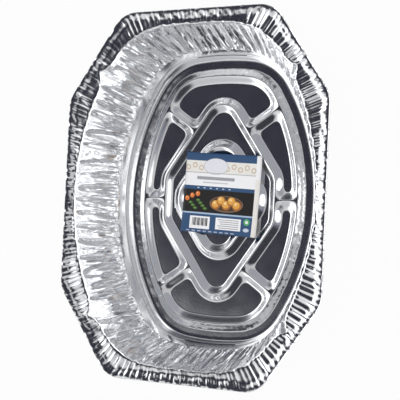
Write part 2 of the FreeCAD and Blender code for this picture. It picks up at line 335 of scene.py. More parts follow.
STATIONS, PERIMETER, PLEAT_WAYS = all_stations()
COLUMNS = len(STATIONS)
PLACE = STATIONS[:, 0:2]
NORMAL = STATIONS[:, 2:4]
WAY = STATIONS[:, 4]
FROM_SPOUT = STATIONS[:, 5]


def flange_corners():
    """The eight corners of the flange's outline, clockwise."""
    half_length, half_width = LENGTH / 2, WIDTH / 2
    quarter = [(SLANT_FROM_MIDDLE, half_width), (half_length, half_width - SLANT_FROM_SIDE)]
    corners = []
    for sx, sy, backwards in [(1, 1, False), (1, -1, True), (-1, -1, False), (-1, 1, True)]:
        corners += [(sx * x, sy * y) for x, y in (quarter[::-1] if backwards else quarter)]
    return corners


def inset_corners(corners, inset):
    """Corners of a clockwise outline, moved inwards."""
    sides = []
    for i, (x0, y0) in enumerate(corners):
        x1, y1 = corners[(i + 1) % len(corners)]
        length = math.hypot(x1 - x0, y1 - y0)
        ux, uy = (x1 - x0) / length, (y1 - y0) / length
        sides.append((x0 + inset * uy, y0 - inset * ux, ux, uy))
    moved = []
    for i in range(len(corners)):
        ax, ay, aux, auy = sides[i - 1]
        bx, by, bux, buy = sides[i]
        along = ((bx - ax) * buy - (by - ay) * bux) / (aux * buy - auy * bux)
        moved.append((ax + along * aux, ay + along * auy))
    return moved


def way_to_line(points, corners, is_closed):
    """Each point's shortest way to a line of corners."""
    starts = np.array(corners if is_closed else corners[:-1])
    stops = np.array(corners[1:] + corners[:1] if is_closed else corners[1:])
    nearest = np.full(len(points), 1e9)
    for start, stop in zip(starts, stops):
        run = stop - start
        share = unit_clip((points - start) @ run / (run @ run))
        nearest = np.minimum(nearest, np.linalg.norm(points - start - share[:, None] * run, axis=1))
    return nearest


def inside(points, corners):
    """Which points lie inside a convex clockwise outline."""
    held = np.ones(len(points), bool)
    for (x0, y0), (x1, y1) in zip(corners, corners[1:] + corners[:1]):
        held &= (points[:, 0] - x0) * (y1 - y0) - (points[:, 1] - y0) * (x1 - x0) >= 0
    return held


FLANGE_CORE = inset_corners(flange_corners(), FLANGE_CORNER_RADIUS)


def flange_way(points):
    """Signed way from the flange's rounded outline, outwards positive."""
    way = way_to_line(points, FLANGE_CORE, True)
    return np.where(inside(points, FLANGE_CORE), -way, way) - FLANGE_CORNER_RADIUS


def reach_inside(inset):
    """How far each column runs from the ring's crest to a line inside the flange's edge, along its normal."""
    near, far = np.zeros(COLUMNS), np.full(COLUMNS, 150.0)
    for _ in range(40):
        middle = (near + far) / 2
        beyond = flange_way(PLACE + middle[:, None] * NORMAL) > -inset
        near, far = np.where(beyond, near, middle), np.where(beyond, middle, far)
    return near


LIP_FOOT_REACH = reach_inside(LIP_FOOT)
LIP_TOP_REACH = reach_inside(LIP_TOP)
BEAD_REACH = reach_inside(BEAD_RADIUS)
SPOUT_REACH = LIP_FOOT_REACH[np.argmin(FROM_SPOUT)] - MOUTH - MOUTH_RIPPLE / 2 - SPOUT_LAND
SPOUT_PUSH = SPOUT_REACH * unit_clip(1 - FROM_SPOUT / SPOUT_HALF_WIDTH) ** 2
TURN = np.arctan2(np.abs(NORMAL[:, 0]), np.abs(NORMAL[:, 1])) / (math.pi / 2)
END_PULL = END_WALL_PULL * np.clip(2 * TURN - 1, 0, None) ** 2


def way_from(way, place):
    """How far apart two ways along the wall are, round the pan the shorter way."""
    return np.abs((way - place + PERIMETER / 2) % PERIMETER - PERIMETER / 2)


def waves_round(count):
    """Angle of a wave that goes that many times round the pan."""
    return 2 * np.pi * count * WAY / PERIMETER


def wave_sum(waves):
    """Sum of waves round the pan, each given by its count, size and start."""
    return sum(size * np.sin(waves_round(count) + start) for count, size, start in waves)


def streaks(height, count, shortest, longest, slant):
    """Creases that run up the sheet: zigzags in whole turns round the pan, which come and go."""
    total = np.zeros(np.broadcast(WAY, height).shape)
    for _ in range(count):
        pitch = rng.uniform(shortest, longest)
        turns = round(PERIMETER / pitch)
        lean = rng.uniform(-slant, slant) / pitch
        wander = rng.uniform(0.1, 0.3) * np.sin(waves_round(rng.integers(5, 25)) + rng.uniform(0, 6))
        wave = triangle_wave(turns * WAY / PERIMETER + lean * height + wander + rng.uniform())
        slow = waves_round(rng.integers(3, 30)) + rng.uniform(-0.09, 0.09) * height
        total += pitch * wave * unit_clip(0.5 + 0.9 * np.sin(slow + rng.uniform(0, 6)))
    return total / math.sqrt(count)


def crumple(points, count, shortest, longest):
    """Small facets all ways: zigzags through space in random directions."""
    total = np.zeros(points.shape[:-1])
    bend = rng.normal(size=(3, 3)) / 16
    warped = points + 2.5 * np.sin(points @ bend)
    for _ in range(count):
        pitch = rng.uniform(shortest, longest)
        direction = rng.normal(size=3)
        direction /= np.linalg.norm(direction)
        total += pitch * triangle_wave(warped @ direction / pitch + rng.uniform())
    return total / math.sqrt(count)


def pleats(height):
    """Main pleats of the wall: folds that start sharply above the plain band and lean a little."""
    index = np.arange(len(PLEAT_WAYS))
    uneven = 1 - PLEAT_UNEVENNESS * (1 + np.sin(UNEVENNESS_TURN * index)) / 2
    swings = np.where(index % 2, 0.5, -0.5) * uneven
    wave = np.interp(leaning_way(height), PLEAT_WAYS, swings, period=PERIMETER)
    flat_topped = np.clip(PLEAT_FLATNESS * wave, -0.5, 0.5)
    heights = [PLAIN_BAND, PLAIN_BAND + PLEAT_START, WALL_RISE - SPOUT_HEIGHT, WALL_RISE]
    depths = [0, PLEAT_DEPTH_LOW, PLEAT_DEPTH_HIGH, MOUTH_RIPPLE]
    return np.interp(height, heights, depths) * flat_topped


def leaning_way(height):
    """Way along the wall, shifted so that folds lean and wander a little as they climb."""
    rise = np.clip(height - PLAIN_BAND, 0, None)
    return (WAY + wave_sum(LEAN_WAVES) * rise + wave_sum(WANDER_WAVES)) % PERIMETER


def tucks(height):
    """Narrow creases, a long and a short one at each pleat's foot, with wedges that go the other way."""
    total = np.zeros(np.broadcast(WAY, height).shape)
    way = leaning_way(height)
    rise = height - PLAIN_BAND
    for pleat in PLEAT_WAYS:
        start = rng.uniform(*TUCK_START)
        long_one = (0.0, rng.uniform(*LONG_TUCK_LENGTH), rng.uniform(*LONG_TUCK_DEPTH), 1.0)
        aside, reach = rng.uniform(*SHORT_TUCK_SHIFT), rng.uniform(*SHORT_TUCK_LENGTH)
        short_one = (aside, reach, rng.uniform(*SHORT_TUCK_DEPTH), SHORT_WEDGE_SHARE)
        for shift, length, depth, wedge_share in (long_one, short_one):
            away = way_from(way, pleat + shift)
            crease = depth * unit_clip(1 - away / TUCK_HALF_WIDTH)
            crease = crease * ramp(rise, start, 2) * unit_clip((length - rise) / 8)
            wedge = WEDGE_DEPTH * unit_clip(1 - away / WEDGE_HALF_WIDTH)
            wedge = wedge * ramp(rise, start, 1.5) * unit_clip(1 - (rise - start) / WEDGE_LENGTH)
            total += crease - wedge_share * wedge
    return total


def creases(height):
    """Single sharp folds that start somewhere up the wall and run on towards the mouth."""
    total = np.zeros(np.broadcast(WAY, height).shape)
    for _ in range(CREASE_COUNT):
        centre = rng.uniform(0, PERIMETER)
        start = rng.uniform(PLAIN_BAND + 1, 52)
        stop = start + rng.uniform(*CREASE_LENGTH)
        lean = rng.normal() * CREASE_LEAN
        half_width = rng.uniform(*CREASE_HALF_WIDTH)
        ridge = unit_clip(1 - way_from(WAY - lean * (height - start), centre) / half_width)
        depth = rng.choice([-1, 1]) * rng.uniform(*CREASE_STEEPNESS) * half_width
        total += depth * ridge * ramp(height, start, 5) * unit_clip((stop - height) / 6)
    return total


def zigzag_round(spacings):
    """A height for each column, to and fro between 1 and -1 at uneven spacings."""
    nodes = [0]
    while nodes[-1] < COLUMNS - 4:
        nodes.append(nodes[-1] + int(rng.choice(spacings)))
    heights = np.where(np.arange(len(nodes)) % 2, 1, -1) * rng.uniform(0.55, 1.0, len(nodes))
    return np.interp(np.arange(COLUMNS), nodes, heights, period=COLUMNS)


def wall_rows():
    """The rows from the gutter to the mouth: offset from the ring's crest, height, and push by the spouts."""
    rows = [(offset, height, 0) for offset, height in GUTTER_ROWS]
    for height in PLAIN_ROWS + PLEATED_ROWS:
        push = ramp(height, WALL_RISE - SPOUT_HEIGHT, SPOUT_HEIGHT)
        rows.append((WALL_FOOT + WALL_SPREAD * height / WALL_RISE, LEDGE_TOP + height, push))
    return rows + [(offset, height, 1.0) for offset, height in MOUTH_ROWS]


def wall_points():
    """The wall's grid of points with every fold, and how far the folds swing at the mouth."""
    offset, height, push = (np.array(column)[:, None] for column in zip(*wall_rows()))
    above = height - LEDGE_TOP
    low_end = unit_clip(-2 * NORMAL[:, 0])
    streak_share = (STREAK_SHARE + LOW_END_SHARE * low_end) * ramp(above, PLAIN_BAND + 2, 10)
    swing = pleats(above) + tucks(above) + creases(above)
    swing = swing + streaks(above, **WALL_STREAKS) * streak_share
    pull = unit_clip((offset - WALL_FOOT) / WALL_SPREAD) * END_PULL
    flat = PLACE[None] + (offset + push * SPOUT_PUSH - pull)[..., None] * NORMAL[None]
    spots = np.concatenate([flat, np.broadcast_to(height[..., None], flat.shape[:2] + (1,))], axis=2)
    crumple_share = WALL_CRUMPLE_LOW + WALL_CRUMPLE_GROWTH * ramp(above, PLAIN_BAND, 60) ** 3
    swing = swing + crumple(spots, **WALL_CRUMPLE) * crumple_share * ramp(above, PLAIN_BAND, 6)
    swing = swing * ramp(above, PLAIN_BAND - 2, 2) * (1 - 0.6 * ramp(above, WALL_RISE - 7, 7))
    tilt = math.atan2(WALL_RISE, WALL_SPREAD)
    spots[..., 0] += swing * math.sin(tilt) * NORMAL[None, :, 0]
    spots[..., 1] += swing * math.sin(tilt) * NORMAL[None, :, 1]
    spots[..., 2] -= swing * math.cos(tilt)
    return spots, swing[-1]


def pleated_share():
    """How strongly the flange is pleated: less at the two ends and at one of the spouts."""
    ends = ramp(np.abs(NORMAL[:, 0]), CALM_END_FROM, 0.05)
    way = np.hypot(PLACE[:, 0] - CALM_SPOT[0], PLACE[:, 1] - CALM_SPOT[1])
    far_spout = unit_clip(CALM_CORE - way / CALM_REACH)
    return (1 - CALM_END_SHARE * ends) * (1 - CALM_SPOT_SHARE * far_spout)


def flange_points(mouth_swing):
    """The flange's grid of points: radial pleats on the flat, and the crumpled lip that rises to the bead."""
    flat_shares, lip_shares = np.array(FLAT_SHARES), np.array(LIP_SHARES)
    start = MOUTH + SPOUT_PUSH - END_PULL + mouth_swing
    start = start + MOUTH_JAG * zigzag_round(JAG_SPACINGS)
    inner = start[None] + flat_shares[:, None] * (LIP_FOOT_REACH - start)[None]
    lip = LIP_FOOT_REACH[None] + lip_shares[:, None] * (LIP_TOP_REACH - LIP_FOOT_REACH)[None]
    offset = np.concatenate([inner, lip])
    climb = np.concatenate([np.zeros(len(flat_shares)), smooth_clip(lip_shares, 0.15)])[:, None]
    flat = PLACE[None] + offset[..., None] * NORMAL[None]
    spots = np.concatenate([flat, np.full(flat.shape[:2] + (1,), FLANGE_LEVEL)], axis=2)
    share = pleated_share()
    on_lip = unit_clip(climb * 4)
    radial = zigzag_round(PLEAT_SPACINGS) * (0.75 + 0.25 * np.sin(waves_round(23)))
    fine = zigzag_round(FINE_SPACINGS)
    height = PLEAT_SWING * radial * (share + 0.5 * on_lip * (1 - share)) + FINE_SWING * fine
    height = height + crumple(spots, **LIP_CRUMPLE) * LIP_CRUMPLE_SHARE * on_lip
    height = height + crumple(spots, **FLANGE_WAVES) * FLANGE_WAVE_SHARE
    height = height * ramp(offset, start, 2.0) * unit_clip((1.15 - climb) / 0.4)
    spots[..., 2] += height + climb * (LIP_HEIGHT - 0.4)
    spots[..., 2] = np.minimum(spots[..., 2], RIM - 0.02)
    return spots


def bead_points():
    """Rows of points round the rolled bead, dented at random."""
    outward = np.zeros((COLUMNS, 2))
    middle = PLACE + BEAD_REACH[:, None] * NORMAL
    step = 0.01
    for axis in range(2):
        shift = np.zeros(2)
        shift[axis] = step
        outward[:, axis] = (flange_way(middle + shift) - flange_way(middle - shift)) / (2 * step)
    rows = []
    for a in np.radians(BEAD_ANGLES):
        radius = BEAD_RADIUS * (1 - BEAD_DENT * rng.random(COLUMNS))
        flat = middle + (radius * math.sin(a))[:, None] * outward
        rows.append(np.column_stack([flat, RIM - BEAD_RADIUS + radius * math.cos(a)]))
    return np.array(rows)


def ring_outline(offset, step):
    """Points round the oval at an offset."""
    quarter = []
    for (cx, cy), radius, start, stop in ring_arcs():
        count = max(2, round((radius + offset) * (stop - start) / step))
        for a in np.linspace(start, stop, count, endpoint=False):
            quarter.append((cx + (radius + offset) * math.sin(a), cy + (radius + offset) * math.cos(a)))
    last = (RING_HALF_LENGTH + offset, 0.0)
    turned = [last] + quarter[:0:-1]
    points = []
    for sx, sy, run in [(1, 1, quarter), (1, -1, turned), (-1, -1, quarter), (-1, 1, turned)]:
        points += [(sx * x, sy * y) for x, y in run]
    return points


def rib_corners(half_length, half_width, knee, tip_radius, knee_radius):
    """The six corners of a rib's line, clockwise, and the radius at each."""
    corners = [(-knee, half_width), (knee, half_width), (half_length, 0.0)]
    corners += [(knee, -half_width), (-knee, -half_width), (-half_length, 0.0)]
    return corners, [knee_radius, knee_radius, tip_radius] * 2


def rib_outline(form, offset, step):
    """Points round a rib's line with its corners rounded, at an offset."""
    corners, radii = rib_corners(**form)
    corners = inset_corners(corners, -offset)
    points = []
    for i, corner in enumerate(corners):
        before = Vector(corners[i - 1]) - Vector(corner)
        after = Vector(corners[(i + 1) % len(corners)]) - Vector(corner)
        half_turn = (math.pi - before.angle(after)) / 2
        radius = radii[i] + offset
        reach = radius * math.tan(half_turn)
        start = Vector(corner) + before.normalized() * reach
        inwards = (before.normalized() + after.normalized()).normalized()
        centre = Vector(corner) + inwards * (radius / math.cos(half_turn))
        arm = start - centre
        count = max(3, round(2 * half_turn * radius / step))
        for k in range(count + 1):
            a = -2 * half_turn * k / count
            x = arm.x * math.cos(a) - arm.y * math.sin(a)
            y = arm.x * math.sin(a) + arm.y * math.cos(a)
            points.append((centre.x + x, centre.y + y))
    spaced = []
    for (x0, y0), (x1, y1) in zip(points, points[1:] + points[:1]):
        count = max(1, round(math.hypot(x1 - x0, y1 - y0) / step))
        spaced += [(x0 + (x1 - x0) * k / count, y0 + (y1 - y0) * k / count) for k in range(count)]
    return spaced


def straight_ribs():
    """Ends of the straight ribs between the diamond and the ring."""
    lines = [((0.0, s * DIAMOND["half_width"]), (0.0, s * RING_HALF_WIDTH)) for s in (1, -1)]
    (x0, y0), (x1, y1) = BRANCH
    return lines + [((sx * x0, sy * y0), (sx * x1, sy * y1)) for sx in (1, -1) for sy in (1, -1)]


def rib_height(way):
    """Height of a rib above the fields at each way from its line."""
    run = RIB_HALF_FOOT - RIB_HALF_CREST
    return (CREST - SHEET) * smooth_clip((RIB_HALF_FOOT - way) / run, RIB_ROUNDING)


RING_LINE = ring_outline(0.0, LINE_STEP)
DIAMOND_LINE = rib_outline(DIAMOND, 0.0, LINE_STEP)
LOOP_LINE = rib_outline(LOOP, 0.0, LINE_STEP)


def rounded_least(a, b, blend):
    """The lesser of two ways, rounded where they are nearly the same."""
    share = np.clip(blend - np.abs(a - b), 0, None) / blend
    return np.minimum(a, b) - share ** 2 * blend / 4


def way_to_ribs(points):
    """Each point's way to the nearest rib line, rounded where ribs join between the ring and the diamond."""
    ring = way_to_line(points, RING_LINE, True)
    diamond = way_to_line(points, DIAMOND_LINE, True)
    pocket = rounded_least(ring, diamond, POCKET_ROUNDING)
    for start, stop in straight_ribs():
        pocket = rounded_least(pocket, way_to_line(points, [start, stop], False), POCKET_ROUNDING)
    middle = np.minimum(diamond, way_to_line(points, LOOP_LINE, True))
    way = np.where(inside(points, DIAMOND_LINE), middle, pocket)
    return np.where(inside(points, RING_LINE), way, ring)


def floor_heights(points):
    """Height of the floor's top at each point, with its ribs, slightly raised fields and dents."""
    way = way_to_ribs(points)
    within = inside(points, RING_LINE)
    field = FIELD_RISE * smooth_clip((way - RIB_HALF_FOOT) / FIELD_RUN, FIELD_ROUNDING) * within
    dents = DENT * triangle_wave(points[:, 0] * DENT_TURNS[0] + points[:, 1] * DENT_TURNS[1])
    on_outer_slope = (way > DENTED_FROM) * (way < RIB_HALF_FOOT) * ~within
    return SHEET + rib_height(way) + field + dents * on_outer_slope


def crest_lines():
    """Lines along every rib's crest, and whether each closes."""
    lines = []
    for offset in CREST_LINES:
        lines.append((ring_outline(offset, LINE_STEP), True))
        lines.append((rib_outline(DIAMOND, offset, LINE_STEP), True))
        lines.append((rib_outline(LOOP, offset, LINE_STEP), True))
        for start, stop in straight_ribs():
            run = np.array(stop) - np.array(start)
            length = math.hypot(*run)
            side = np.array([run[1], -run[0]]) / length
            shares = np.linspace(0.04, 0.96, 9)
            lines.append(([tuple(np.array(start) + share * run + offset * side) for share in shares], False))
    return lines


def contour_lines(levels):
    """Points and edges of the lines at each of these ways from the ribs, found on a grid of triangles."""
    xs = np.arange(-RING_HALF_LENGTH - CONTOUR_MARGIN, RING_HALF_LENGTH + CONTOUR_MARGIN, CONTOUR_STEP)
    ys = np.arange(-RING_HALF_WIDTH - CONTOUR_MARGIN, RING_HALF_WIDTH + CONTOUR_MARGIN, CONTOUR_STEP)
    nodes = np.array([(x, y) for x in xs for y in ys])
    ways = way_to_ribs(nodes)
    size = len(ys)
    points, edges = [], []
    for level in levels:
        found = {}
        first = len(points)
        for i in range(len(xs) - 1):
            for j in range(size - 1):
                a = i * size + j
                for corners in ((a, a + size, a + size + 1), (a, a + size + 1, a + 1)):
                    ends = []
                    for m, n in zip(corners, corners[1:] + corners[:1]):
                        if (ways[m] < level) != (ways[n] < level):
                            key = (min(m, n), max(m, n))
                            if key not in found:
                                share = (level - ways[m]) / (ways[n] - ways[m])
                                found[key] = len(points)
                                points.append(nodes[m] + share * (nodes[n] - nodes[m]))
                            ends.append(found[key])
                    if len(ends) == 2:
                        edges.append(tuple(ends))
        spots = np.array(points[first:])
        for _ in range(2):
            points[first:] = list(settled(spots, level))
            spots = np.array(points[first:])
    return points, edges


def settled(spots, level):
    """Points moved straight towards the line where the way to the ribs has that level."""
    step = 0.05
    way = way_to_ribs(spots)
    slope_x = (way_to_ribs(spots + (step, 0)) - way) / step
    slope_y = (way_to_ribs(spots + (0, step)) - way) / step
    steepness = np.maximum(slope_x ** 2 + slope_y ** 2, 0.25)
    move = np.clip((level - way) / steepness, -1.0, 1.0)
    return spots + np.column_stack([move * slope_x, move * slope_y])


def floor_mesh(rim_points):
    """Points and triangles of the ribbed floor inside an outer ring of points, and where that ring's are."""
    size = len(rim_points)
    edges = [(i, (i + 1) % size) for i in range(size)]
    points, lines = contour_lines(CONTOURS)
    edges += [(size + a, size + b) for a, b in lines]
    for line, is_closed in crest_lines():
        first = size + len(points)
        points += line
        edges += [(first + i, first + i + 1) for i in range(len(line) - 1)]
        if is_closed:
            edges.append((first + len(line) - 1, first))
    along = range(-FIELD_STEPS_ALONG, FIELD_STEPS_ALONG + 1)
    across = range(-FIELD_STEPS_ACROSS, FIELD_STEPS_ACROSS + 1)
    grid = [((i + j % 2 / 2) * FIELD_STEP, j * FIELD_STEP) for i in along for j in across]
    clear = way_to_ribs(np.array(grid)) > CONTOURS[-1] + FIELD_CLEARANCE
    spots = [Vector(p) for p in rim_points] + [Vector(p) for p in points]
    spots += [Vector(p) for p, kept in zip(grid, clear) if kept]
    merged, _, faces, sources, _, _ = delaunay_2d_cdt(spots, edges, [], 0, MERGE_WITHIN)
    flat = np.array([tuple(p) for p in merged])
    found = {source: i for i, group in enumerate(sources) for source in group}
    core = [tuple(p) for p in rim_points]
    middles = np.array([flat[list(face)].mean(axis=0) for face in faces])
    faces = [face for face, held in zip(faces, inside(middles, core)) if held]
    return flat, faces, [found[i] for i in range(size)]


def foil_mesh():
    """The whole sheet: floor, wall, flange and bead as one mesh."""
    wall, mouth_swing = wall_points()
    grid = np.concatenate([wall, flange_points(mouth_swing), bead_points()])
    flat, faces, previous = floor_mesh(wall[0, ::2, :2])
    verts = [np.column_stack([flat, floor_heights(flat)])]
    polygons = [tuple(face) for face in faces]
    count = len(flat)
    half = COLUMNS // 2
    lower = len(GUTTER_ROWS)
    for row in range(1, len(grid)):
        coarse = row < lower
        points = grid[row, ::2] if coarse else grid[row]
        current = list(range(count, count + len(points)))
        verts.append(points)
        count += len(points)
        if coarse or row > lower:
            size = len(points)
            polygons += [(previous[i], previous[(i + 1) % size], current[(i + 1) % size], current[i])
                         for i in range(size)]
        else:
            polygons += [(previous[i], previous[(i + 1) % half], current[(2 * i + 2) % COLUMNS],
                          current[2 * i + 1], current[2 * i]) for i in range(half)]
        previous = current
    mesh = bpy.data.meshes.new("foil_sheet")
    mesh.from_pydata((np.concatenate(verts) * MM).tolist(), [], polygons)
    mesh.validate()
    return mesh


def facing_up(mesh):
    """Turns the whole sheet over if its floor faces down."""
    mesh.update()
    lowest = min(mesh.polygons, key=lambda p: (p.center.x ** 2 + p.center.y ** 2))
    if lowest.normal.z < 0:
        mesh.flip_normals()


def make_foil():
    """The pan's sheet with its gauge, in place of the CAD pan."""
    mesh = foil_mesh()
    facing_up(mesh)
    mesh.shade_smooth()
    mesh.set_sharp_from_angle(angle=math.radians(SHARP_FROM))
    piece = bpy.data.objects.new("foil_sheet", mesh)
    bpy.context.scene.collection.objects.link(piece)
    gauge = piece.modifiers.new("gauge", "SOLIDIFY")
    gauge.thickness = SHEET * MM
    gauge.offset = -1.0
    mesh.materials.append(foil_material())
    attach(piece, "root")
    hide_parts("foil_pan")
    return piece


def foil_material():
    """Bright rolled aluminium with fine wrinkles."""
    material = bpy.data.materials.new("bright_foil")
    material.use_nodes = True
    nodes, links = material.node_tree.nodes, material.node_tree.links
    shader = nodes["Principled BSDF"]
    shader.inputs["Base Color"].default_value = FOIL_COLOUR
    shader.inputs["Metallic"].default_value = 1.0
    place = nodes.new("ShaderNodeTexCoord")
    wrinkle = nodes.new("ShaderNodeTexNoise")
    wrinkle.inputs["Scale"].default_value = WRINKLE_SCALE
    wrinkle.inputs["Detail"].default_value = WRINKLE_DETAIL
    links.new(place.outputs["Object"], wrinkle.inputs["Vector"])
    bump = nodes.new("ShaderNodeBump")
    bump.inputs["Strength"].default_value = WRINKLE_STRENGTH
    bump.inputs["Distance"].default_value = WRINKLE_HEIGHT * MM
    links.new(wrinkle.outputs["Fac"], bump.inputs["Height"])
    links.new(bump.outputs["Normal"], shader.inputs["Normal"])
    haze = nodes.new("ShaderNodeTexNoise")
    haze.inputs["Scale"].default_value = HAZE_SCALE
    links.new(place.outputs["Object"], haze.inputs["Vector"])
    spread = nodes.new("ShaderNodeMapRange")
    spread.inputs["To Min"].default_value = FOIL_ROUGHNESS[0]
    spread.inputs["To Max"].default_value = FOIL_ROUGHNESS[1]
    links.new(haze.outputs["Fac"], spread.inputs["Value"])
    links.new(spread.outputs["Result"], shader.inputs["Roughness"])
    return material


def make_label():
    """A thin paper sheet laid on the rib crests, lifted a little at its corners."""
    mesh = bpy.data.meshes.new("printed_label")
    turn = math.radians(LABEL_TURN)
    verts, polygons, marks = [], [], []
    for i in range(LABEL_CELLS + 1):
        for j in range(LABEL_CELLS + 1):
            u = -LABEL_HALF_LENGTH + 2 * LABEL_HALF_LENGTH * i / LABEL_CELLS
            v = -LABEL_HALF_WIDTH - LABEL_MARGIN + (2 * LABEL_HALF_WIDTH + LABEL_MARGIN) * j / LABEL_CELLS
            x = LABEL_CENTRE[0] + u * math.cos(turn) - v * math.sin(turn)
            y = LABEL_CENTRE[1] + u * math.sin(turn) + v * math.cos(turn)
            lift = CORNER_LIFT * (u / LABEL_HALF_LENGTH) ** 4 * (v / LABEL_HALF_WIDTH) ** 2
            verts.append((x * MM, y * MM, (CREST + LABEL_TOP + lift) * MM))
            marks.append((u, v))
    row = LABEL_CELLS + 1
    for i in range(LABEL_CELLS):
        for j in range(LABEL_CELLS):
            a = i * row + j
            polygons.append((a, a + row, a + row + 1, a + 1))
    mesh.from_pydata(verts, [], polygons)
    layer = mesh.uv_layers.new(name="print")
    for loop in mesh.loops:
        u, v = marks[loop.vertex_index]
        layer.data[loop.index].uv = (u / PRINT_SCALE + 0.5, v / PRINT_SCALE + 0.5)
    facing_up(mesh)
    mesh.shade_smooth()
    piece = bpy.data.objects.new("printed_label", mesh)
    bpy.context.scene.collection.objects.link(piece)
    gauge = piece.modifiers.new("gauge", "SOLIDIFY")
    gauge.thickness = LABEL_GAUGE * MM
    gauge.offset = -1.0
    mesh.materials.append(label_material())
    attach(piece, "root")
    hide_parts("paper_label")
    return piece


# Colours of the print
NAVY = (0.028, 0.085, 0.20)
WHITE = (0.93, 0.93, 0.95)
CREAM = (0.86, 0.84, 0.80)
TAN = (0.66, 0.53, 0.42)
GREY = (0.36, 0.37, 0.40)
BLACK = (0.012, 0.010, 0.009)
GOLD = (0.80, 0.40, 0.07)
ORANGE = (0.78, 0.20, 0.03)
GREEN = (0.06, 0.17, 0.03)


def print_shapes():
    """The print's fields: form, middle up the label and to its left, half sizes the same ways, and colour."""
    full = LABEL_HALF_WIDTH
    shapes = [("box", 46.0, 0.0, 5.0, full, NAVY), ("box", 33.5, 0.0, 7.5, full, CREAM)]
    for k in range(-5, 6):
        shapes.append(("oval", 33.5 + 1.5 * (-1) ** k, 9.4 * k, 3.6, 3.6, TAN))
        shapes.append(("oval", 33.5 + 1.5 * (-1) ** k, 9.4 * k, 2.0, 2.0, CREAM))
    shapes += [("oval", 34.5, 7.0, 10.5, 17.5, GREY), ("oval", 34.5, 7.0, 10.0, 17.0, (0.80, 0.80, 0.86))]
    shapes += [("box", 25.7, 0.0, 0.4, full, GREY), ("box", 19.0, 6.0, 2.0, 27.0, GREY)]
    shapes += [("box", 13.5, 6.0, 0.8, 18.0, (0.6, 0.6, 0.64)), ("box", 6.4, 0.0, 2.4, full, NAVY)]
    for k in range(6):
        shapes.append(("oval", 6.4, 30.0 - 9.0 * k, 0.7, 1.6, (0.6, 0.66, 0.75)))
    shapes += [("box", -10.5, 0.0, 14.5, full, BLACK)]
    shapes += leaves_and_dish()
    shapes += [("box", -26.0, 0.0, 1.0, full, (0.42, 0.55, 0.72)), ("box", -39.0, 0.0, 12.0, full, NAVY)]
    shapes += [("box", -37.5, -17.0, 7.5, 18.0, WHITE), ("box", -38.0, 24.0, 8.0, 14.5, WHITE)]
    for k in range(5):
        shapes.append(("box", -32.5 - 2.6 * k, -17.0 - k % 3, 0.5, 15.0 - k % 3, GREY))
    for k in range(12):
        shapes.append(("box", -37.0, 34.5 - 1.9 * k, 5.0, 0.35 + 0.25 * (k % 3), BLACK))
    shapes += [("oval", -33.0, -43.0, 4.3, 4.3, (0.10, 0.45, 0.16)), ("oval", -33.0, -43.0, 2.0, 2.0, WHITE)]
    shapes += [("oval", -43.0, -43.0, 2.4, 4.2, (0.6, 0.66, 0.78)), ("box", -39.0, -54.0, 60.0, 3.5, CREAM)]
    for k in range(9):
        shapes.append(("box", -48.8, 40.0 - 8.0 * k, 0.7, 2.4, (0.45, 0.5, 0.62)))
    return shapes


def leaves_and_dish():
    """The dark panel's picture: a dish of baked rolls, sprigs of leaves and a few round fruits."""
    shapes = [("oval", -12.5, -12.0, 10.5, 24.0, (0.20, 0.12, 0.07))]
    shapes += [("oval", -12.0, -12.0, 9.0, 22.0, (0.07, 0.04, 0.02))]
    for k in range(5):
        up, left = -14.0 + 5.0 * (k % 2), 3.0 - 7.5 * k
        shapes.append(("oval", up, left, 6.0, 6.4, (0.42, 0.15, 0.03)))
        shapes.append(("oval", up + 1.0, left + 0.6, 4.6, 4.8, GOLD))
        shapes.append(("oval", up + 2.4, left + 1.6, 1.8, 2.0, (0.93, 0.66, 0.30)))
    for k in range(7):
        shapes.append(("oval", -20.0 + 3.4 * (k % 4), 18.0 + 3.6 * k, 1.8, 3.0, GREEN))
        shapes.append(("oval", -19.5 + 3.4 * (k % 4), 18.5 + 3.6 * k, 0.6, 1.8, (0.20, 0.36, 0.08)))
    for up, left in ((-4.0, 38.0), (-1.5, 30.0), (-8.0, 45.0)):
        shapes.append(("oval", up, left, 3.2, 3.2, ORANGE))
        shapes.append(("oval", up + 1.0, left + 0.8, 1.0, 1.0, (0.95, 0.55, 0.25)))
    return shapes


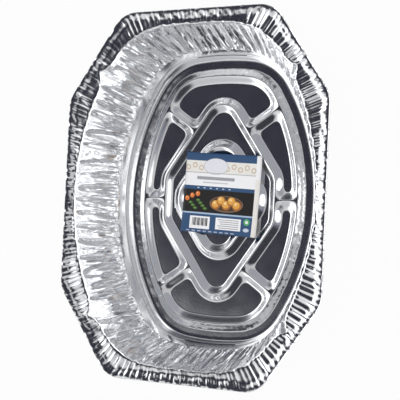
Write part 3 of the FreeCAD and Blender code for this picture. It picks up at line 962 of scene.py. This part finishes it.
def label_material():
    """Coated paper printed with fields of colour and simple shapes."""
    material = bpy.data.materials.new("printed_paper")
    material.use_nodes = True
    nodes, links = material.node_tree.nodes, material.node_tree.links
    shader = nodes["Principled BSDF"]
    shader.inputs["Roughness"].default_value = 0.38
    marks = nodes.new("ShaderNodeUVMap")
    marks.uv_map = "print"
    shade = None
    for form, up, left, half_up, half_left, colour in print_shapes():
        centred = nodes.new("ShaderNodeVectorMath")
        centred.operation = "SUBTRACT"
        links.new(marks.outputs["UV"], centred.inputs[0])
        centred.inputs[1].default_value = (up / PRINT_SCALE + 0.5, left / PRINT_SCALE + 0.5, 0)
        scaled = nodes.new("ShaderNodeVectorMath")
        scaled.operation = "DIVIDE"
        links.new(centred.outputs[0], scaled.inputs[0])
        scaled.inputs[1].default_value = (half_up / PRINT_SCALE, half_left / PRINT_SCALE, 1)
        way = nodes.new("ShaderNodeVectorMath")
        if form == "oval":
            way.operation = "LENGTH"
            links.new(scaled.outputs[0], way.inputs[0])
            reach = way.outputs["Value"]
        else:
            way.operation = "ABSOLUTE"
            links.new(scaled.outputs[0], way.inputs[0])
            split = nodes.new("ShaderNodeSeparateXYZ")
            links.new(way.outputs[0], split.inputs[0])
            larger = nodes.new("ShaderNodeMath")
            larger.operation = "MAXIMUM"
            links.new(split.outputs[0], larger.inputs[0])
            links.new(split.outputs[1], larger.inputs[1])
            reach = larger.outputs[0]
        held = nodes.new("ShaderNodeMath")
        held.operation = "LESS_THAN"
        held.inputs[1].default_value = 1.0
        links.new(reach, held.inputs[0])
        mix = nodes.new("ShaderNodeMix")
        mix.data_type = "RGBA"
        links.new(held.outputs[0], mix.inputs["Factor"])
        if shade is None:
            mix.inputs["A"].default_value = (*WHITE, 1)
        else:
            links.new(shade, mix.inputs["A"])
        mix.inputs["B"].default_value = (*colour, 1)
        shade = mix.outputs["Result"]
    links.new(shade, shader.inputs["Base Color"])
    return material


def make_floor():
    """A plain pale floor that the camera sees as white, with the pan's shadow on it."""
    mesh = bpy.data.meshes.new("floor")
    size = FLOOR_HALF_SIZE
    corners = [(-size, -size, 0), (size, -size, 0), (size, size, 0), (-size, size, 0)]
    mesh.from_pydata(corners, [], [(0, 1, 2, 3)])
    floor = bpy.data.objects.new("floor", mesh)
    bpy.context.scene.collection.objects.link(floor)
    material = bpy.data.materials.new("pale_floor")
    material.use_nodes = True
    nodes, links = material.node_tree.nodes, material.node_tree.links
    shader = nodes["Principled BSDF"]
    shader.inputs["Base Color"].default_value = FLOOR_COLOUR
    shader.inputs["Roughness"].default_value = 0.9
    white = nodes.new("ShaderNodeEmission")
    paths = nodes.new("ShaderNodeLightPath")
    glow = nodes.new("ShaderNodeMath")
    glow.operation = "MULTIPLY"
    glow.inputs[1].default_value = FLOOR_GLOW
    links.new(paths.outputs["Is Camera Ray"], glow.inputs[0])
    mix = nodes.new("ShaderNodeMixShader")
    links.new(glow.outputs[0], mix.inputs["Fac"])
    links.new(shader.outputs[0], mix.inputs[1])
    links.new(white.outputs[0], mix.inputs[2])
    links.new(mix.outputs[0], nodes["Material Output"].inputs["Surface"])
    mesh.materials.append(material)


# Discs of the studio's sky: direction, where each is whole and where it ends in degrees, and its light
SKY_DISCS = [
    ((0.82, 0.44, 0.38), 20.0, 36.0, (0.14, 0.15, 0.17)),
    ((-0.95, 0.15, 0.30), 30.0, 50.0, (0.55, 0.56, 0.58)),
    ((0.0, -0.88, 0.45), 18.0, 34.0, (1.3, 1.3, 1.3)),
    ((0.56, -0.68, 0.39), 10.0, 20.0, (0.85, 0.85, 0.86)),
    ((-0.52, -0.69, 0.41), 10.0, 20.0, (0.85, 0.85, 0.86)),
    ((0.38, -0.54, 0.76), 12.0, 24.0, (0.22, 0.23, 0.27)),
    ((-0.38, -0.54, 0.76), 12.0, 24.0, (0.22, 0.23, 0.27)),
    ((0.62, -0.30, 0.72), 18.0, 30.0, (0.34, 0.35, 0.38)),
    ((-0.66, -0.26, 0.70), 16.0, 28.0, (0.04, 0.04, 0.05)),
    ((0.80, 0.47, 0.36), 8.0, 18.0, (0.06, 0.06, 0.07)),
    ((0.04, -0.64, 0.77), 9.0, 16.0, (1.9, 1.9, 1.9)),
    ((0.04, 0.24, 0.97), 5.0, 11.0, (0.10, 0.10, 0.12)),
    ((0.13, 0.41, 0.90), 12.0, 16.8, (0.026, 0.027, 0.040)),
]

# Light on surfaces that scatter it, such as paper, the sky's light at each height, and its blue tint
PLAIN_LIGHT = (1.0, 1.0, 1.0)
SKY_HEIGHTS = [(0.0, 2.3), (0.58, 2.3), (0.74, 0.9), (1.0, 0.5)]
SKY_BLUE = 1.02


def make_world():
    """A plain studio: bright low walls and a dimmer ceiling, with soft discs that are brighter or darker."""
    world = bpy.data.worlds.new("studio")
    bpy.context.scene.world = world
    world.use_nodes = True
    nodes, links = world.node_tree.nodes, world.node_tree.links
    place = nodes.new("ShaderNodeTexCoord")
    split = nodes.new("ShaderNodeSeparateXYZ")
    links.new(place.outputs["Generated"], split.inputs[0])
    by_height = nodes.new("ShaderNodeValToRGB")
    links.new(split.outputs["Z"], by_height.inputs["Fac"])
    stops = by_height.color_ramp.elements
    stops.remove(stops[1])
    for k, (height, light) in enumerate(SKY_HEIGHTS):
        stop = stops[0] if k == 0 else stops.new(height)
        stop.position = height
        stop.color = (light, light, light * SKY_BLUE, 1)
    shade = by_height.outputs["Color"]
    for direction, full, none, colour in SKY_DISCS:
        toward = nodes.new("ShaderNodeVectorMath")
        toward.operation = "DOT_PRODUCT"
        links.new(place.outputs["Generated"], toward.inputs[0])
        toward.inputs[1].default_value = Vector(direction).normalized()
        share = nodes.new("ShaderNodeMapRange")
        share.interpolation_type = "SMOOTHSTEP"
        share.inputs["From Min"].default_value = math.cos(math.radians(none))
        share.inputs["From Max"].default_value = math.cos(math.radians(full))
        links.new(toward.outputs["Value"], share.inputs["Value"])
        mix = nodes.new("ShaderNodeMix")
        mix.data_type = "RGBA"
        links.new(share.outputs["Result"], mix.inputs["Factor"])
        links.new(shade, mix.inputs["A"])
        mix.inputs["B"].default_value = (*colour, 1)
        shade = mix.outputs["Result"]
    paths = nodes.new("ShaderNodeLightPath")
    plain = nodes.new("ShaderNodeMix")
    plain.data_type = "RGBA"
    links.new(paths.outputs["Is Diffuse Ray"], plain.inputs["Factor"])
    links.new(shade, plain.inputs["A"])
    plain.inputs["B"].default_value = (*PLAIN_LIGHT, 1)
    links.new(plain.outputs["Result"], nodes["Background"].inputs["Color"])


def make_camera():
    """The camera, as fitted to the photo."""
    data = bpy.data.cameras.new("camera")
    data.lens = CAMERA_LENS
    data.sensor_width = CAMERA_SENSOR
    camera = bpy.data.objects.new("camera", data)
    camera.location = CAMERA_PLACE
    camera.rotation_euler = Euler([math.radians(a) for a in CAMERA_TURN], "XYZ")
    bpy.context.scene.collection.objects.link(camera)
    bpy.context.scene.camera = camera


make_foil()
make_label()
make_floor()
make_world()
make_camera()
bpy.context.scene.view_settings.view_transform = "Standard"
